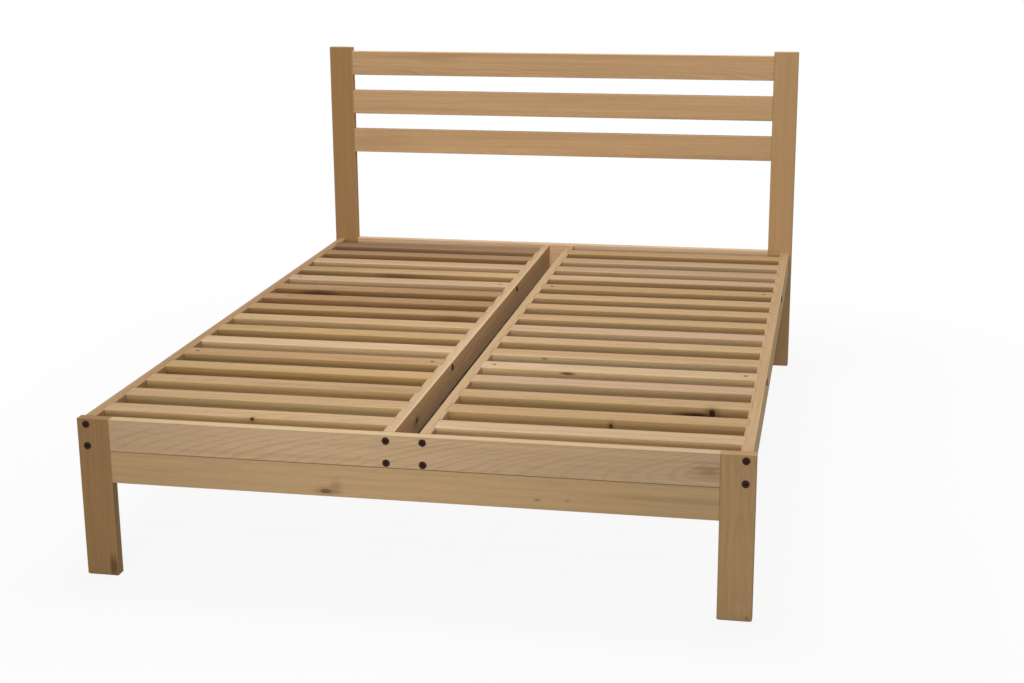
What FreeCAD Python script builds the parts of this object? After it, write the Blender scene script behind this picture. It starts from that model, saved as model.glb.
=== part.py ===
import FreeCAD, Part
import os

import Sketcher

# Slatted platform bed for a queen mattress, in millimetres.
# The frame stands on the floor at Z 0. X runs across the bed, Y from the foot end to the head end.
# The origin is on the floor, under the middle of the bed. Left and right are as seen from the foot.

# Driving dimensions: alias, value, meaning
DRIVING_SIZES = [
    ("overall_width", 1524, "outer faces of the left and right legs"),
    ("rail_length", 2000, "long rails, between the foot boards and the head board"),
    ("deck_height", 378, "floor to the tops of the rails and slats"),
    ("head_height", 1018, "floor to the tops of the head posts"),
    ("stock_thickness", 26, "all planed boards of the frame"),
    ("leg_width", 76, "legs and head posts, across the bed"),
    ("leg_toe_chamfer", 3, "bevel round the lower end of each leg"),
    ("edge_radius", 1.5, "eased long edges of legs and cross boards"),
    ("foot_board_height", 75, "each of the two foot boards"),
    ("rail_height", 77, "long rails, top to bottom"),
    ("rail_edge_radius", 1.5, "rounded long edges of the long rails"),
    ("rail_inset", 9, "outer face of an outer rail behind the leg's outer edge"),
    ("centre_gap", 56.5, "between the two inner rails"),
    ("head_board_rise", 4, "head deck board above the deck"),
    ("head_rail_height", 76, "each of the three upper head rails"),
    ("head_rail_gap", 51, "between two upper head rails"),
    ("head_rail_drop", 13, "top head rail below the post tops"),
    ("slat_width", 57, "slats, along the bed"),
    ("slat_thickness", 26, "slats, top to bottom"),
    ("slat_edge_radius", 3.5, "rounded long edges of the slats"),
    ("slat_count", 16, "slats in each half deck"),
    ("slat_first_offset", 48, "foot end of a rail to the first slat"),
    ("slat_last_offset", 59, "last slat to the head end of a rail"),
    ("notch_depth", 6, "slat housings, into the inner faces of the rails"),
    ("notch_side_clearance", 0.2, "each side of a slat in its housing"),
    ("notch_end_clearance", 0.3, "each end of a slat in its housing"),
    ("tie_slat_first", 5, "first tie slat, counted from the foot"),
    ("tie_slat_second", 12, "second tie slat, counted from the foot"),
    ("bolt_diameter", 6, "shank of a connector bolt"),
    ("bolt_length", 65, "under the head of a connector bolt"),
    ("bolt_head_diameter", 17, "flat head of a connector bolt"),
    ("bolt_head_height", 2.4, "flat head of a connector bolt"),
    ("bolt_head_radius", 1.4, "rounded rim of the head"),
    ("bolt_socket_width", 4, "hexagon socket, across the flats"),
    ("bolt_socket_depth", 2, "hexagon socket"),
    ("bolt_end_chamfer", 0.8, "lead in at the end of the shank"),
    ("bolt_bore_clearance", 0.5, "round the shank, in wood"),
    ("bolt_end_room", 4, "bore beyond the end of the shank"),
    ("bolt_edge_distance", 13, "bolt line to the upper or lower edge of a rail"),
    ("nut_diameter", 10, "barrel nut"),
    ("nut_length", 20, "barrel nut"),
    ("nut_chamfer", 0.6, "bevel at the ends of a barrel nut"),
    ("nut_slot_width", 1.5, "screwdriver slot in the visible end"),
    ("nut_slot_depth", 1.2, "screwdriver slot in the visible end"),
    ("nut_fit_clearance", 0.2, "round a nut in its bore, and round a shank in a nut"),
    ("rail_nut_distance", 28, "end of a rail to the middle of its nuts"),
    ("tie_nut_distance", 25, "inner face of a rail to the middle of a tie nut"),
    ("dowel_diameter", 10, "wooden dowels"),
    ("dowel_length", 60, "wooden dowels"),
    ("dowel_chamfer", 1, "bevelled dowel ends"),
    ("dowel_fit_clearance", 0.1, "round a dowel in its bore"),
    ("dowel_end_clearance", 1, "beyond each end of a dowel"),
    ("dowel_spacing", 40, "between the two dowels of a joint"),
]

# Lengths and places that follow from the driving dimensions
STOCK = "Sizes.stock_thickness"
HALF_STOCK = "Sizes.stock_thickness / 2"
BOARD_LENGTH = "Sizes.overall_width - 2 * Sizes.leg_width"
LEG_X = "(Sizes.overall_width - Sizes.leg_width) / 2"
RAIL_FOOT_Y = "-Sizes.rail_length / 2"
RAIL_HEAD_Y = "Sizes.rail_length / 2"
FOOT_Y = "-(Sizes.rail_length + Sizes.stock_thickness) / 2"
HEAD_Y = "(Sizes.rail_length + Sizes.stock_thickness) / 2"
OUTER_RAIL_X = "Sizes.overall_width / 2 - Sizes.rail_inset - Sizes.stock_thickness / 2"
INNER_RAIL_X = "(Sizes.centre_gap + Sizes.stock_thickness) / 2"
HALF_DECK_X = f"({OUTER_RAIL_X} + {INNER_RAIL_X}) / 2"
RAIL_SPAN = f"{OUTER_RAIL_X} - ({INNER_RAIL_X}) - {STOCK}"
SLAT_LENGTH = f"{RAIL_SPAN} + 2 * (Sizes.notch_depth - Sizes.notch_end_clearance)"
SLAT_RUN = ("Sizes.rail_length - Sizes.slat_first_offset - Sizes.slat_last_offset"
            " - Sizes.slat_width")
SLAT_PITCH = f"({SLAT_RUN}) / (Sizes.slat_count - 1)"
FIRST_SLAT_Y = "Sizes.slat_first_offset + Sizes.slat_width / 2"
NOTCH_WIDTH = "Sizes.slat_width + 2 * Sizes.notch_side_clearance"
TIE_DEPTH = "Sizes.slat_thickness / 2"
UPPER_BOLT_DEPTH = "Sizes.bolt_edge_distance"
LOWER_BOLT_DEPTH = "Sizes.rail_height - Sizes.bolt_edge_distance"
BOLT_BORE = "Sizes.bolt_diameter + 2 * Sizes.bolt_bore_clearance"
NUT_BORE = "Sizes.nut_diameter + 2 * Sizes.nut_fit_clearance"
NUT_BORE_DEPTH = "(Sizes.stock_thickness + Sizes.nut_length) / 2"
TIE_NUT_BORE_DEPTH = "(Sizes.slat_thickness + Sizes.nut_length) / 2"
RAIL_BORE_DEPTH = "Sizes.bolt_length - Sizes.stock_thickness + Sizes.bolt_end_room"
TIE_BORE_DEPTH = f"{RAIL_BORE_DEPTH} + Sizes.notch_depth"
DOWEL_BORE = "Sizes.dowel_diameter + 2 * Sizes.dowel_fit_clearance"
DOWEL_BORE_DEPTH = "Sizes.dowel_length / 2 + Sizes.dowel_end_clearance"
HEAD_BOARD_HEIGHT = "Sizes.rail_height + Sizes.head_board_rise"
UPPER_FOOT_BOARD_Z = "Sizes.deck_height - Sizes.foot_board_height / 2"
LOWER_FOOT_BOARD_Z = "Sizes.deck_height - 3 * Sizes.foot_board_height / 2"
HEAD_BOARD_Z = f"Sizes.deck_height + Sizes.head_board_rise - ({HEAD_BOARD_HEIGHT}) / 2"
TOP_HEAD_RAIL_Z = "Sizes.head_height - Sizes.head_rail_drop - Sizes.head_rail_height / 2"
HEAD_RAIL_PITCH = "Sizes.head_rail_height + Sizes.head_rail_gap"
MIDDLE_HEAD_RAIL_Z = f"{TOP_HEAD_RAIL_Z} - ({HEAD_RAIL_PITCH})"
LOWER_HEAD_RAIL_Z = f"{TOP_HEAD_RAIL_Z} - 2 * ({HEAD_RAIL_PITCH})"

LEFT, RIGHT = -1, 1
SIDE_NAMES = {LEFT: "left", RIGHT: "right"}

doc = FreeCAD.newDocument("PlatformBed")
sub_parts = []


def make_sizes_sheet():
    """Fills the spreadsheet: a value and its meaning in each row, the value under an alias."""
    sheet = doc.addObject("Spreadsheet::Sheet", "Sizes")
    for row, (alias, number, meaning) in enumerate(DRIVING_SIZES, start=1):
        sheet.set(f"A{row}", alias)
        sheet.set(f"B{row}", str(number))
        sheet.setAlias(f"B{row}", alias)
        sheet.set(f"C{row}", meaning)
    doc.recompute()
    return sheet


sizes = make_sizes_sheet()


def value(expression):
    """The number that an expression on the sheet gives."""
    return float(sizes.evalExpression(expression))


def signed(side, expression):
    """An expression with the sign of a side of the bed."""
    return f"-({expression})" if side < 0 else expression


def origin_feature(body, role):
    """One of a body's own origin planes or axes."""
    return next(item for item in body.Origin.OriginFeatures if item.Role == role)


def new_body(label):
    body = doc.addObject("PartDesign::Body", label)
    body.Label = label
    return body


def new_sketch(body, name, plane, offset="0"):
    """A sketch on an origin plane, moved along that plane's normal by an offset."""
    sketch = body.newObject("Sketcher::SketchObject", name)
    sketch.AttachmentSupport = [(origin_feature(body, plane), "")]
    sketch.MapMode = "FlatFace"
    sketch.setExpression(".AttachmentOffset.Base.z", offset)
    return sketch


def bind(sketch, constraint, name, expression):
    """Adds a dimension to a sketch and binds it to an expression."""
    index = sketch.addConstraint(constraint)
    sketch.renameConstraint(index, name)
    sketch.setExpression("Constraints." + name, expression)


def add_rectangle(sketch, name, middle, size):
    """A rectangle about a middle point, each given as a pair of expressions."""
    (u_text, v_text), (width_text, height_text) = middle, size
    left_text = f"{u_text} - ({width_text}) / 2"
    low_text = f"{v_text} - ({height_text}) / 2"
    left, low = value(left_text), value(low_text)
    right, high = left + value(width_text), low + value(height_text)
    corners = [(left, low), (right, low), (right, high), (left, high)]
    points = [FreeCAD.Vector(u, v, 0) for u, v in corners]
    lines = [Part.LineSegment(points[i], points[(i + 1) % 4]) for i in range(4)]
    first = sketch.addGeometry(lines, False)[0]
    for i in range(4):
        join = Sketcher.Constraint("Coincident", first + i, 2, first + (i + 1) % 4, 1)
        sketch.addConstraint(join)
        sketch.addConstraint(Sketcher.Constraint("Vertical" if i % 2 else "Horizontal", first + i))
    corner_u = Sketcher.Constraint("DistanceX", -1, 1, first, 1, left)
    corner_v = Sketcher.Constraint("DistanceY", -1, 1, first, 1, low)
    width = Sketcher.Constraint("DistanceX", first, 1, first, 2, right - left)
    height = Sketcher.Constraint("DistanceY", first + 1, 1, first + 1, 2, high - low)
    bind(sketch, corner_u, name + "_left", left_text)
    bind(sketch, corner_v, name + "_low", low_text)
    bind(sketch, width, name + "_width", width_text)
    bind(sketch, height, name + "_height", height_text)


def add_circle(sketch, name, centre, diameter):
    """A circle about a centre that is given as a pair of expressions."""
    u_text, v_text = centre
    u, v = value(u_text), value(v_text)
    circle = Part.Circle(FreeCAD.Vector(u, v, 0), FreeCAD.Vector(0, 0, 1), value(diameter) / 2)
    index = sketch.addGeometry(circle, False)
    bind(sketch, Sketcher.Constraint("DistanceX", -1, 1, index, 3, u), name + "_u", u_text)
    bind(sketch, Sketcher.Constraint("DistanceY", -1, 1, index, 3, v), name + "_v", v_text)
    bind(sketch, Sketcher.Constraint("Diameter", index, value(diameter)), name + "_size", diameter)


def add_hexagon(sketch, across_flats):
    """A regular hexagon about the sketch's origin, one corner on the horizontal axis."""
    radius_text = f"{across_flats} / sqrt(3)"
    radius = value(radius_text)
    turn = FreeCAD.Rotation(FreeCAD.Vector(0, 0, 1), 360 / 6)
    points = [FreeCAD.Vector(radius, 0, 0)]
    while len(points) < 6:
        points.append(turn.multVec(points[-1]))
    lines = [Part.LineSegment(points[i], points[(i + 1) % 6]) for i in range(6)]
    first = sketch.addGeometry(lines, False)[0]
    guide_circle = Part.Circle(FreeCAD.Vector(0, 0, 0), FreeCAD.Vector(0, 0, 1), radius)
    guide = sketch.addGeometry(guide_circle, True)
    sketch.addConstraint(Sketcher.Constraint("Coincident", guide, 3, -1, 1))
    for i in range(6):
        join = Sketcher.Constraint("Coincident", first + i, 2, first + (i + 1) % 6, 1)
        sketch.addConstraint(join)
        sketch.addConstraint(Sketcher.Constraint("PointOnObject", first + i, 1, guide))
        if i:
            sketch.addConstraint(Sketcher.Constraint("Equal", first, first + i))
    sketch.addConstraint(Sketcher.Constraint("PointOnObject", first, 1, -1))
    bind(sketch, Sketcher.Constraint("Radius", guide, radius), "corner_radius", radius_text)


def pad(body, name, sketch, length, symmetric=False, reverse=False):
    """Pads a sketch along its normal, or evenly to both sides."""
    feature = body.newObject("PartDesign::Pad", name)
    feature.Profile = sketch
    feature.SideType = "Symmetric" if symmetric else "One side"
    feature.Reversed = reverse
    feature.setExpression("Length", length)
    doc.recompute()
    return feature


def cut(body, name, sketch, depth, symmetric=False, reverse=False):
    """Cuts a sketch against its normal, and makes sure that wood or metal is taken away."""
    before = body.Shape.Volume
    feature = body.newObject("PartDesign::Pocket", name)
    feature.Profile = sketch
    feature.SideType = "Symmetric" if symmetric else "One side"
    feature.Reversed = reverse
    feature.setExpression("Length", depth)
    doc.recompute()
    if not body.Shape.Volume < before:
        raise RuntimeError(f"{body.Label}: {name} cuts nothing")
    return feature


def repeat_along(body, name, feature, axis, run, count):
    """Repeats a feature along an origin axis: a whole run and a number of places."""
    pattern = body.newObject("PartDesign::LinearPattern", name)
    pattern.Originals = [feature]
    pattern.Direction = (origin_feature(body, axis), [""])
    pattern.setExpression("Length", run)
    pattern.setExpression("Occurrences", count)
    body.Tip = pattern
    doc.recompute()
    return pattern


def edges_where(feature, test):
    """Names of a feature's edges that pass a test."""
    edges = enumerate(feature.Shape.Edges, start=1)
    return [f"Edge{number}" for number, edge in edges if test(edge)]


def runs_along(direction):
    """A test for straight edges that run along a direction."""
    def test(edge):
        ends = [vertex.Point for vertex in edge.Vertexes]
        if len(ends) != 2:
            return False
        step = ends[1] - ends[0]
        return step.cross(direction).Length < 1e-6 * step.Length
    return test


def lies_at_height(height):
    """A test for edges that lie wholly at one height."""
    def test(edge):
        box = edge.BoundBox
        return abs(box.ZMin - height) + abs(box.ZMax - height) < 1e-6
    return test


def round_edges(body, name, base, test, radius):
    fillet = body.newObject("PartDesign::Fillet", name)
    fillet.Base = (base, edges_where(base, test))
    fillet.setExpression("Radius", radius)
    doc.recompute()
    return fillet


def bevel_edges(body, name, base, test, size):
    chamfer = body.newObject("PartDesign::Chamfer", name)
    chamfer.Base = (base, edges_where(base, test))
    chamfer.setExpression("Size", size)
    doc.recompute()
    return chamfer


def place(item, x="0", y="0", z="0", rotation=None):
    """Puts an object at a place that is given as expressions."""
    item.Placement = FreeCAD.Placement(FreeCAD.Vector(), rotation or FreeCAD.Rotation())
    for axis, expression in zip("xyz", (x, y, z)):
        item.setExpression(f".Placement.Base.{axis}", expression)


ALONG_X = FreeCAD.Vector(1, 0, 0)
ALONG_Z = FreeCAD.Vector(0, 0, 1)


# Legs and head posts

def make_leg(label, side, height, y, joint_heights):
    """A flat leg, floor to top, with bores for its rail bolts and for its boards' dowels."""
    body = new_body(label)
    outline = new_sketch(body, label + "_section", "XY_Plane")
    add_rectangle(outline, "leg", ("0", "0"), ("Sizes.leg_width", STOCK))
    post = pad(body, label + "_post", outline, height)
    toe = bevel_edges(body, label + "_toe", post, lies_at_height(0), "Sizes.leg_toe_chamfer")
    round_edges(body, label + "_eased", toe, runs_along(ALONG_Z), "Sizes.edge_radius")
    bores = new_sketch(body, label + "_bolt_centres", "XZ_Plane")
    bolt_u = signed(side, f"{OUTER_RAIL_X} - ({LEG_X})")
    for name, depth in (("upper", UPPER_BOLT_DEPTH), ("lower", LOWER_BOLT_DEPTH)):
        add_circle(bores, name, (bolt_u, f"Sizes.deck_height - ({depth})"), BOLT_BORE)
    cut(body, label + "_bolt_bores", bores, f"2 * {STOCK}", symmetric=True)
    inner_face = signed(-side, "Sizes.leg_width / 2")
    sockets = new_sketch(body, label + "_dowel_centres", "YZ_Plane", inner_face)
    add_dowel_circles(sockets, joint_heights)
    cut(body, label + "_dowel_bores", sockets, DOWEL_BORE_DEPTH, reverse=side > 0)
    place(body, signed(side, LEG_X), y)
    sub_parts.append(body)


def add_dowel_circles(sketch, heights):
    """Two dowel circles for each joint, evenly above and below its middle height."""
    for number, height in enumerate(heights):
        for name, sign in (("low", "-"), ("high", "+")):
            middle = f"{height} {sign} Sizes.dowel_spacing / 2"
            add_circle(sketch, f"{name}_{number}", ("0", middle), DOWEL_BORE)


# Boards across the bed

def make_cross_board(label, height, y, z, bolted=False):
    """A board between two legs, dowelled at both ends; a bolted one carries the inner rails."""
    body = new_body(label)
    section = new_sketch(body, label + "_section", "YZ_Plane")
    add_rectangle(section, "board", ("0", "0"), (STOCK, height))
    board = pad(body, label + "_board", section, BOARD_LENGTH, symmetric=True)
    round_edges(body, label + "_eased", board, runs_along(ALONG_X), "Sizes.edge_radius")
    for side in (LEFT, RIGHT):
        end_name = f"{label}_{SIDE_NAMES[side]}"
        end_face = signed(side, f"({BOARD_LENGTH}) / 2")
        sockets = new_sketch(body, end_name + "_dowel_centres", "YZ_Plane", end_face)
        add_dowel_circles(sockets, ["0"])
        cut(body, end_name + "_dowel_bores", sockets, DOWEL_BORE_DEPTH, reverse=side < 0)
    if bolted:
        bores = new_sketch(body, label + "_bolt_centres", "XZ_Plane")
        for side in (LEFT, RIGHT):
            for name, depth in (("upper", UPPER_BOLT_DEPTH), ("lower", LOWER_BOLT_DEPTH)):
                bolt_v = f"Sizes.deck_height - ({depth}) - ({z})"
                centre = (signed(side, INNER_RAIL_X), bolt_v)
                add_circle(bores, f"{SIDE_NAMES[side]}_{name}", centre, BOLT_BORE)
        cut(body, label + "_bolt_bores", bores, f"2 * {STOCK}", symmetric=True)
    place(body, y=y, z=z)
    sub_parts.append(body)


# Long rails of the two half decks

def make_long_rail(label, rail_x, inner):
    """A long rail with its top at the deck. Its inner face, towards X when inner is 1 and away
    from X when it is -1, holds the slat notches and the bores of the barrel nuts."""
    body = new_body(label)
    section = new_sketch(body, label + "_section", "XZ_Plane")
    add_rectangle(section, "rail", ("0", "-Sizes.rail_height / 2"), (STOCK, "Sizes.rail_height"))
    rail = pad(body, label + "_rail", section, "Sizes.rail_length", reverse=True)
    along_y = runs_along(FreeCAD.Vector(0, 1, 0))
    round_edges(body, label + "_rounded", rail, along_y, "Sizes.rail_edge_radius")
    inner_face = signed(inner, HALF_STOCK)

    notch = new_sketch(body, label + "_notch_outline", "XY_Plane")
    notch_size = ("2 * Sizes.notch_depth", NOTCH_WIDTH)
    add_rectangle(notch, "notch", (inner_face, FIRST_SLAT_Y), notch_size)
    first_notch = cut(body, label + "_first_notch", notch, "Sizes.slat_thickness")
    repeat_along(body, label + "_notches", first_notch, "Y_Axis", SLAT_RUN, "Sizes.slat_count")

    for end, offset in (("foot", "0"), ("head", "-Sizes.rail_length")):
        at_head = end == "head"
        bores = new_sketch(body, f"{label}_{end}_bolt_centres", "XZ_Plane", offset)
        nuts = new_sketch(body, f"{label}_{end}_nut_centres", "YZ_Plane", inner_face)
        nut_y = "Sizes.rail_length - Sizes.rail_nut_distance" if at_head else "Sizes.rail_nut_distance"
        for name, depth in (("upper", UPPER_BOLT_DEPTH), ("lower", LOWER_BOLT_DEPTH)):
            add_circle(bores, name, ("0", f"-({depth})"), BOLT_BORE)
            add_circle(nuts, name, (nut_y, f"-({depth})"), NUT_BORE)
        cut(body, f"{label}_{end}_bolt_bores", bores, RAIL_BORE_DEPTH, reverse=at_head)
        cut(body, f"{label}_{end}_nut_bores", nuts, NUT_BORE_DEPTH, reverse=inner < 0)

    ties = new_sketch(body, label + "_tie_centres", "YZ_Plane")
    for name in ("first", "second"):
        tie_y = f"{FIRST_SLAT_Y} + (Sizes.tie_slat_{name} - 1) * {SLAT_PITCH}"
        add_circle(ties, name, (tie_y, f"-({TIE_DEPTH})"), BOLT_BORE)
    cut(body, label + "_tie_bores", ties, f"2 * {STOCK}", symmetric=True)
    place(body, rail_x, RAIL_FOOT_Y, "Sizes.deck_height")
    sub_parts.append(body)


# Slats

def is_tie_slat(number):
    return number in (value("Sizes.tie_slat_first"), value("Sizes.tie_slat_second"))


def make_slat(side, number):
    """A slat with its top at the deck. A tie slat has a bolt bore and a nut bore at each end."""
    label = f"slat_{SIDE_NAMES[side]}_{number:02d}"
    body = new_body(label)
    section = new_sketch(body, label + "_section", "YZ_Plane")
    size = ("Sizes.slat_width", "Sizes.slat_thickness")
    add_rectangle(section, "slat", ("0", "-Sizes.slat_thickness / 2"), size)
    strip = pad(body, label + "_strip", section, SLAT_LENGTH, symmetric=True)
    round_edges(body, label + "_rounded", strip, runs_along(ALONG_X), "Sizes.slat_edge_radius")
    if is_tie_slat(number):
        nuts = new_sketch(body, label + "_nut_centres", "XY_Plane")
        for end in (LEFT, RIGHT):
            end_name = SIDE_NAMES[end]
            end_face = signed(end, f"({SLAT_LENGTH}) / 2")
            bore = new_sketch(body, f"{label}_{end_name}_bolt_centre", "YZ_Plane", end_face)
            add_circle(bore, end_name, ("0", f"-({TIE_DEPTH})"), BOLT_BORE)
            bore_name = f"{label}_{end_name}_bolt_bore"
            cut(body, bore_name, bore, TIE_BORE_DEPTH, reverse=end < 0)
            nut_x = signed(end, f"({RAIL_SPAN}) / 2 - Sizes.tie_nut_distance")
            add_circle(nuts, end_name, (nut_x, "0"), NUT_BORE)
        cut(body, label + "_nut_bores", nuts, TIE_NUT_BORE_DEPTH)
    y = f"{RAIL_FOOT_Y} + {FIRST_SLAT_Y} + {number - 1} * {SLAT_PITCH}"
    place(body, signed(side, HALF_DECK_X), y, "Sizes.deck_height")
    sub_parts.append(body)


# Fasteners: one pattern of each, and groups of links to it

def make_bolt_pattern():
    """A connector bolt on the Z axis: the underside of its flat head at Z 0, its shank below."""
    body = new_body("connector_bolt_pattern")
    head_outline = new_sketch(body, "bolt_head_outline", "XY_Plane")
    add_circle(head_outline, "head", ("0", "0"), "Sizes.bolt_head_diameter")
    head = pad(body, "bolt_head", head_outline, "Sizes.bolt_head_height")
    rim = lies_at_height(value("Sizes.bolt_head_height"))
    round_edges(body, "bolt_head_rim", head, rim, "Sizes.bolt_head_radius")
    shank_outline = new_sketch(body, "bolt_shank_outline", "XY_Plane")
    add_circle(shank_outline, "shank", ("0", "0"), "Sizes.bolt_diameter")
    shank = pad(body, "bolt_shank", shank_outline, "Sizes.bolt_length", reverse=True)
    shank_end = lies_at_height(-value("Sizes.bolt_length"))
    bevel_edges(body, "bolt_shank_end", shank, shank_end, "Sizes.bolt_end_chamfer")
    socket = new_sketch(body, "bolt_socket_outline", "XY_Plane", "Sizes.bolt_head_height")
    add_hexagon(socket, "Sizes.bolt_socket_width")
    cut(body, "bolt_socket", socket, "Sizes.bolt_socket_depth")
    return body


def make_nut_pattern():
    """A barrel nut on the Z axis, its slotted end at Z 0, cross bored along X at its middle."""
    body = new_body("barrel_nut_pattern")
    outline = new_sketch(body, "nut_outline", "XY_Plane")
    add_circle(outline, "nut", ("0", "0"), "Sizes.nut_diameter")
    barrel = pad(body, "nut_barrel", outline, "Sizes.nut_length", reverse=True)
    top = lies_at_height(0)
    bottom = lies_at_height(-value("Sizes.nut_length"))
    bevel_edges(body, "nut_ends", barrel, lambda edge: top(edge) or bottom(edge), "Sizes.nut_chamfer")
    bore = new_sketch(body, "nut_bore_outline", "YZ_Plane")
    bore_size = "Sizes.bolt_diameter + 2 * Sizes.nut_fit_clearance"
    add_circle(bore, "bore", ("0", "-Sizes.nut_length / 2"), bore_size)
    cut(body, "nut_bore", bore, "2 * Sizes.nut_diameter", symmetric=True)
    slot = new_sketch(body, "nut_slot_outline", "XY_Plane")
    add_rectangle(slot, "slot", ("0", "0"), ("2 * Sizes.nut_diameter", "Sizes.nut_slot_width"))
    cut(body, "nut_slot", slot, "Sizes.nut_slot_depth")
    return body


def make_dowel_pattern():
    """A dowel pin along X, about the origin."""
    body = new_body("dowel_pattern")
    outline = new_sketch(body, "dowel_outline", "YZ_Plane")
    add_circle(outline, "dowel", ("0", "0"), "Sizes.dowel_diameter")
    pin = pad(body, "dowel_pin", outline, "Sizes.dowel_length", symmetric=True)
    bevel_edges(body, "dowel_ends", pin, lambda edge: len(edge.Vertexes) == 1, "Sizes.dowel_chamfer")
    return body


def facing(outward, across):
    """The turn that points a fastener's Z outward and its X across."""
    side = outward.cross(across)
    return FreeCAD.Rotation(across, side, outward, "ZXY")


def make_group(label, pattern, places):
    """Links to one fastener, each at a place of its own, kept together under one name."""
    links = []
    for number, (x, y, z, rotation) in enumerate(places, start=1):
        link = doc.addObject("App::Link", f"{label}_{number:02d}")
        link.LinkedObject = pattern
        place(link, x, y, z, rotation)
        links.append(link)
    group = doc.addObject("Part::Compound", label)
    group.Label = label
    group.Links = links
    doc.recompute()
    sub_parts.append(group)


def rail_bolt_rows():
    """Each bolt of one end of the bed: side, rail place across, and depth below the deck."""
    for side in (LEFT, RIGHT):
        for rail_x, inner in ((OUTER_RAIL_X, -side), (INNER_RAIL_X, side)):
            for depth in (UPPER_BOLT_DEPTH, LOWER_BOLT_DEPTH):
                yield signed(side, rail_x), inner, f"Sizes.deck_height - ({depth})"


def make_end_fasteners(end, outward, face_y, nut_y):
    """The rail bolts of the foot or head end, and the barrel nuts that they screw into."""
    bolts, nuts = [], []
    end_axis = FreeCAD.Vector(0, outward, 0)
    for x, inner, z in rail_bolt_rows():
        bolts.append((x, face_y, z, facing(end_axis, ALONG_X)))
        towards_slats = FreeCAD.Vector(inner, 0, 0)
        nut_x = f"{x} + {signed(inner, 'Sizes.nut_length / 2')}"
        nuts.append((nut_x, nut_y, z, facing(towards_slats, FreeCAD.Vector(0, 1, 0))))
    make_group(end + "_bolts", bolt, bolts)
    make_group(end + "_barrel_nuts", nut, nuts)


def make_tie_fasteners():
    """The bolts through the rails into the ends of the tie slats, and their barrel nuts."""
    bolts, nuts = [], []
    z = f"Sizes.deck_height - {TIE_DEPTH}"
    nut_z = f"{z} + Sizes.nut_length / 2"
    for name in ("first", "second"):
        y = f"{RAIL_FOOT_Y} + {FIRST_SLAT_Y} + (Sizes.tie_slat_{name} - 1) * {SLAT_PITCH}"
        for side in (LEFT, RIGHT):
            for rail_x, inner in ((OUTER_RAIL_X, -side), (INNER_RAIL_X, side)):
                x = signed(side, rail_x)
                outer_face = f"{x} + {signed(-inner, HALF_STOCK)}"
                out_of_rail = FreeCAD.Vector(-inner, 0, 0)
                bolts.append((outer_face, y, z, facing(out_of_rail, ALONG_Z)))
                nut_offset = signed(inner, f"({HALF_STOCK} + Sizes.tie_nut_distance)")
                nuts.append((f"{x} + {nut_offset}", y, nut_z, facing(ALONG_Z, ALONG_X)))
    make_group("tie_bolts", bolt, bolts)
    make_group("tie_barrel_nuts", nut, nuts)


def make_dowels(label, y, joint_heights):
    """Two dowels in each joint between a cross board and a leg."""
    places = []
    for side in (LEFT, RIGHT):
        x = signed(side, f"({BOARD_LENGTH}) / 2")
        for height in joint_heights:
            for sign in "-+":
                z = f"{height} {sign} Sizes.dowel_spacing / 2"
                places.append((x, y, z, FreeCAD.Rotation()))
    make_group(label, dowel, places)


# The whole bed

FOOT_JOINTS = [UPPER_FOOT_BOARD_Z, LOWER_FOOT_BOARD_Z]
HEAD_JOINTS = [TOP_HEAD_RAIL_Z, MIDDLE_HEAD_RAIL_Z, LOWER_HEAD_RAIL_Z, HEAD_BOARD_Z]

for side in (LEFT, RIGHT):
    side_name = SIDE_NAMES[side]
    make_leg("foot_leg_" + side_name, side, "Sizes.deck_height", FOOT_Y, FOOT_JOINTS)
    make_leg("head_post_" + side_name, side, "Sizes.head_height", HEAD_Y, HEAD_JOINTS)

make_cross_board("foot_board_upper", "Sizes.foot_board_height", FOOT_Y, UPPER_FOOT_BOARD_Z, bolted=True)
make_cross_board("foot_board_lower", "Sizes.foot_board_height", FOOT_Y, LOWER_FOOT_BOARD_Z)
make_cross_board("head_rail_top", "Sizes.head_rail_height", HEAD_Y, TOP_HEAD_RAIL_Z)
make_cross_board("head_rail_middle", "Sizes.head_rail_height", HEAD_Y, MIDDLE_HEAD_RAIL_Z)
make_cross_board("head_rail_lower", "Sizes.head_rail_height", HEAD_Y, LOWER_HEAD_RAIL_Z)
make_cross_board("head_deck_board", HEAD_BOARD_HEIGHT, HEAD_Y, HEAD_BOARD_Z, bolted=True)

for side in (LEFT, RIGHT):
    side_name = SIDE_NAMES[side]
    make_long_rail(f"rail_{side_name}_outer", signed(side, OUTER_RAIL_X), -side)
    make_long_rail(f"rail_{side_name}_inner", signed(side, INNER_RAIL_X), side)
    for slat_number in range(1, int(value("Sizes.slat_count")) + 1):
        make_slat(side, slat_number)

bolt = make_bolt_pattern()
nut = make_nut_pattern()
dowel = make_dowel_pattern()
FOOT_FACE_Y = f"{RAIL_FOOT_Y} - {STOCK}"
HEAD_FACE_Y = f"{RAIL_HEAD_Y} + {STOCK}"
make_end_fasteners("foot", -1, FOOT_FACE_Y, f"{RAIL_FOOT_Y} + Sizes.rail_nut_distance")
make_end_fasteners("head", 1, HEAD_FACE_Y, f"{RAIL_HEAD_Y} - Sizes.rail_nut_distance")
make_tie_fasteners()
make_dowels("foot_dowels", FOOT_Y, FOOT_JOINTS)
make_dowels("head_dowels", HEAD_Y, HEAD_JOINTS)


def check_document():
    """Stops if any object failed, or if a sub-part has no valid solid shape."""
    doc.recompute()
    for item in doc.Objects:
        if {"Invalid", "Error"} & set(item.State):
            raise RuntimeError(f"{item.Label} failed: {item.State}")
    for item in sub_parts:
        if item.Shape.isNull() or not item.Shape.isValid() or not item.Shape.Solids:
            raise RuntimeError(f"{item.Label} has no valid solid")


def write_sub_parts():
    os.makedirs("parts", exist_ok=True)
    for item in sub_parts:
        item.Shape.exportStep(f"parts/{item.Label}.step")
        print(item.Label, len(item.Shape.Solids), round(item.Shape.Volume))


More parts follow.
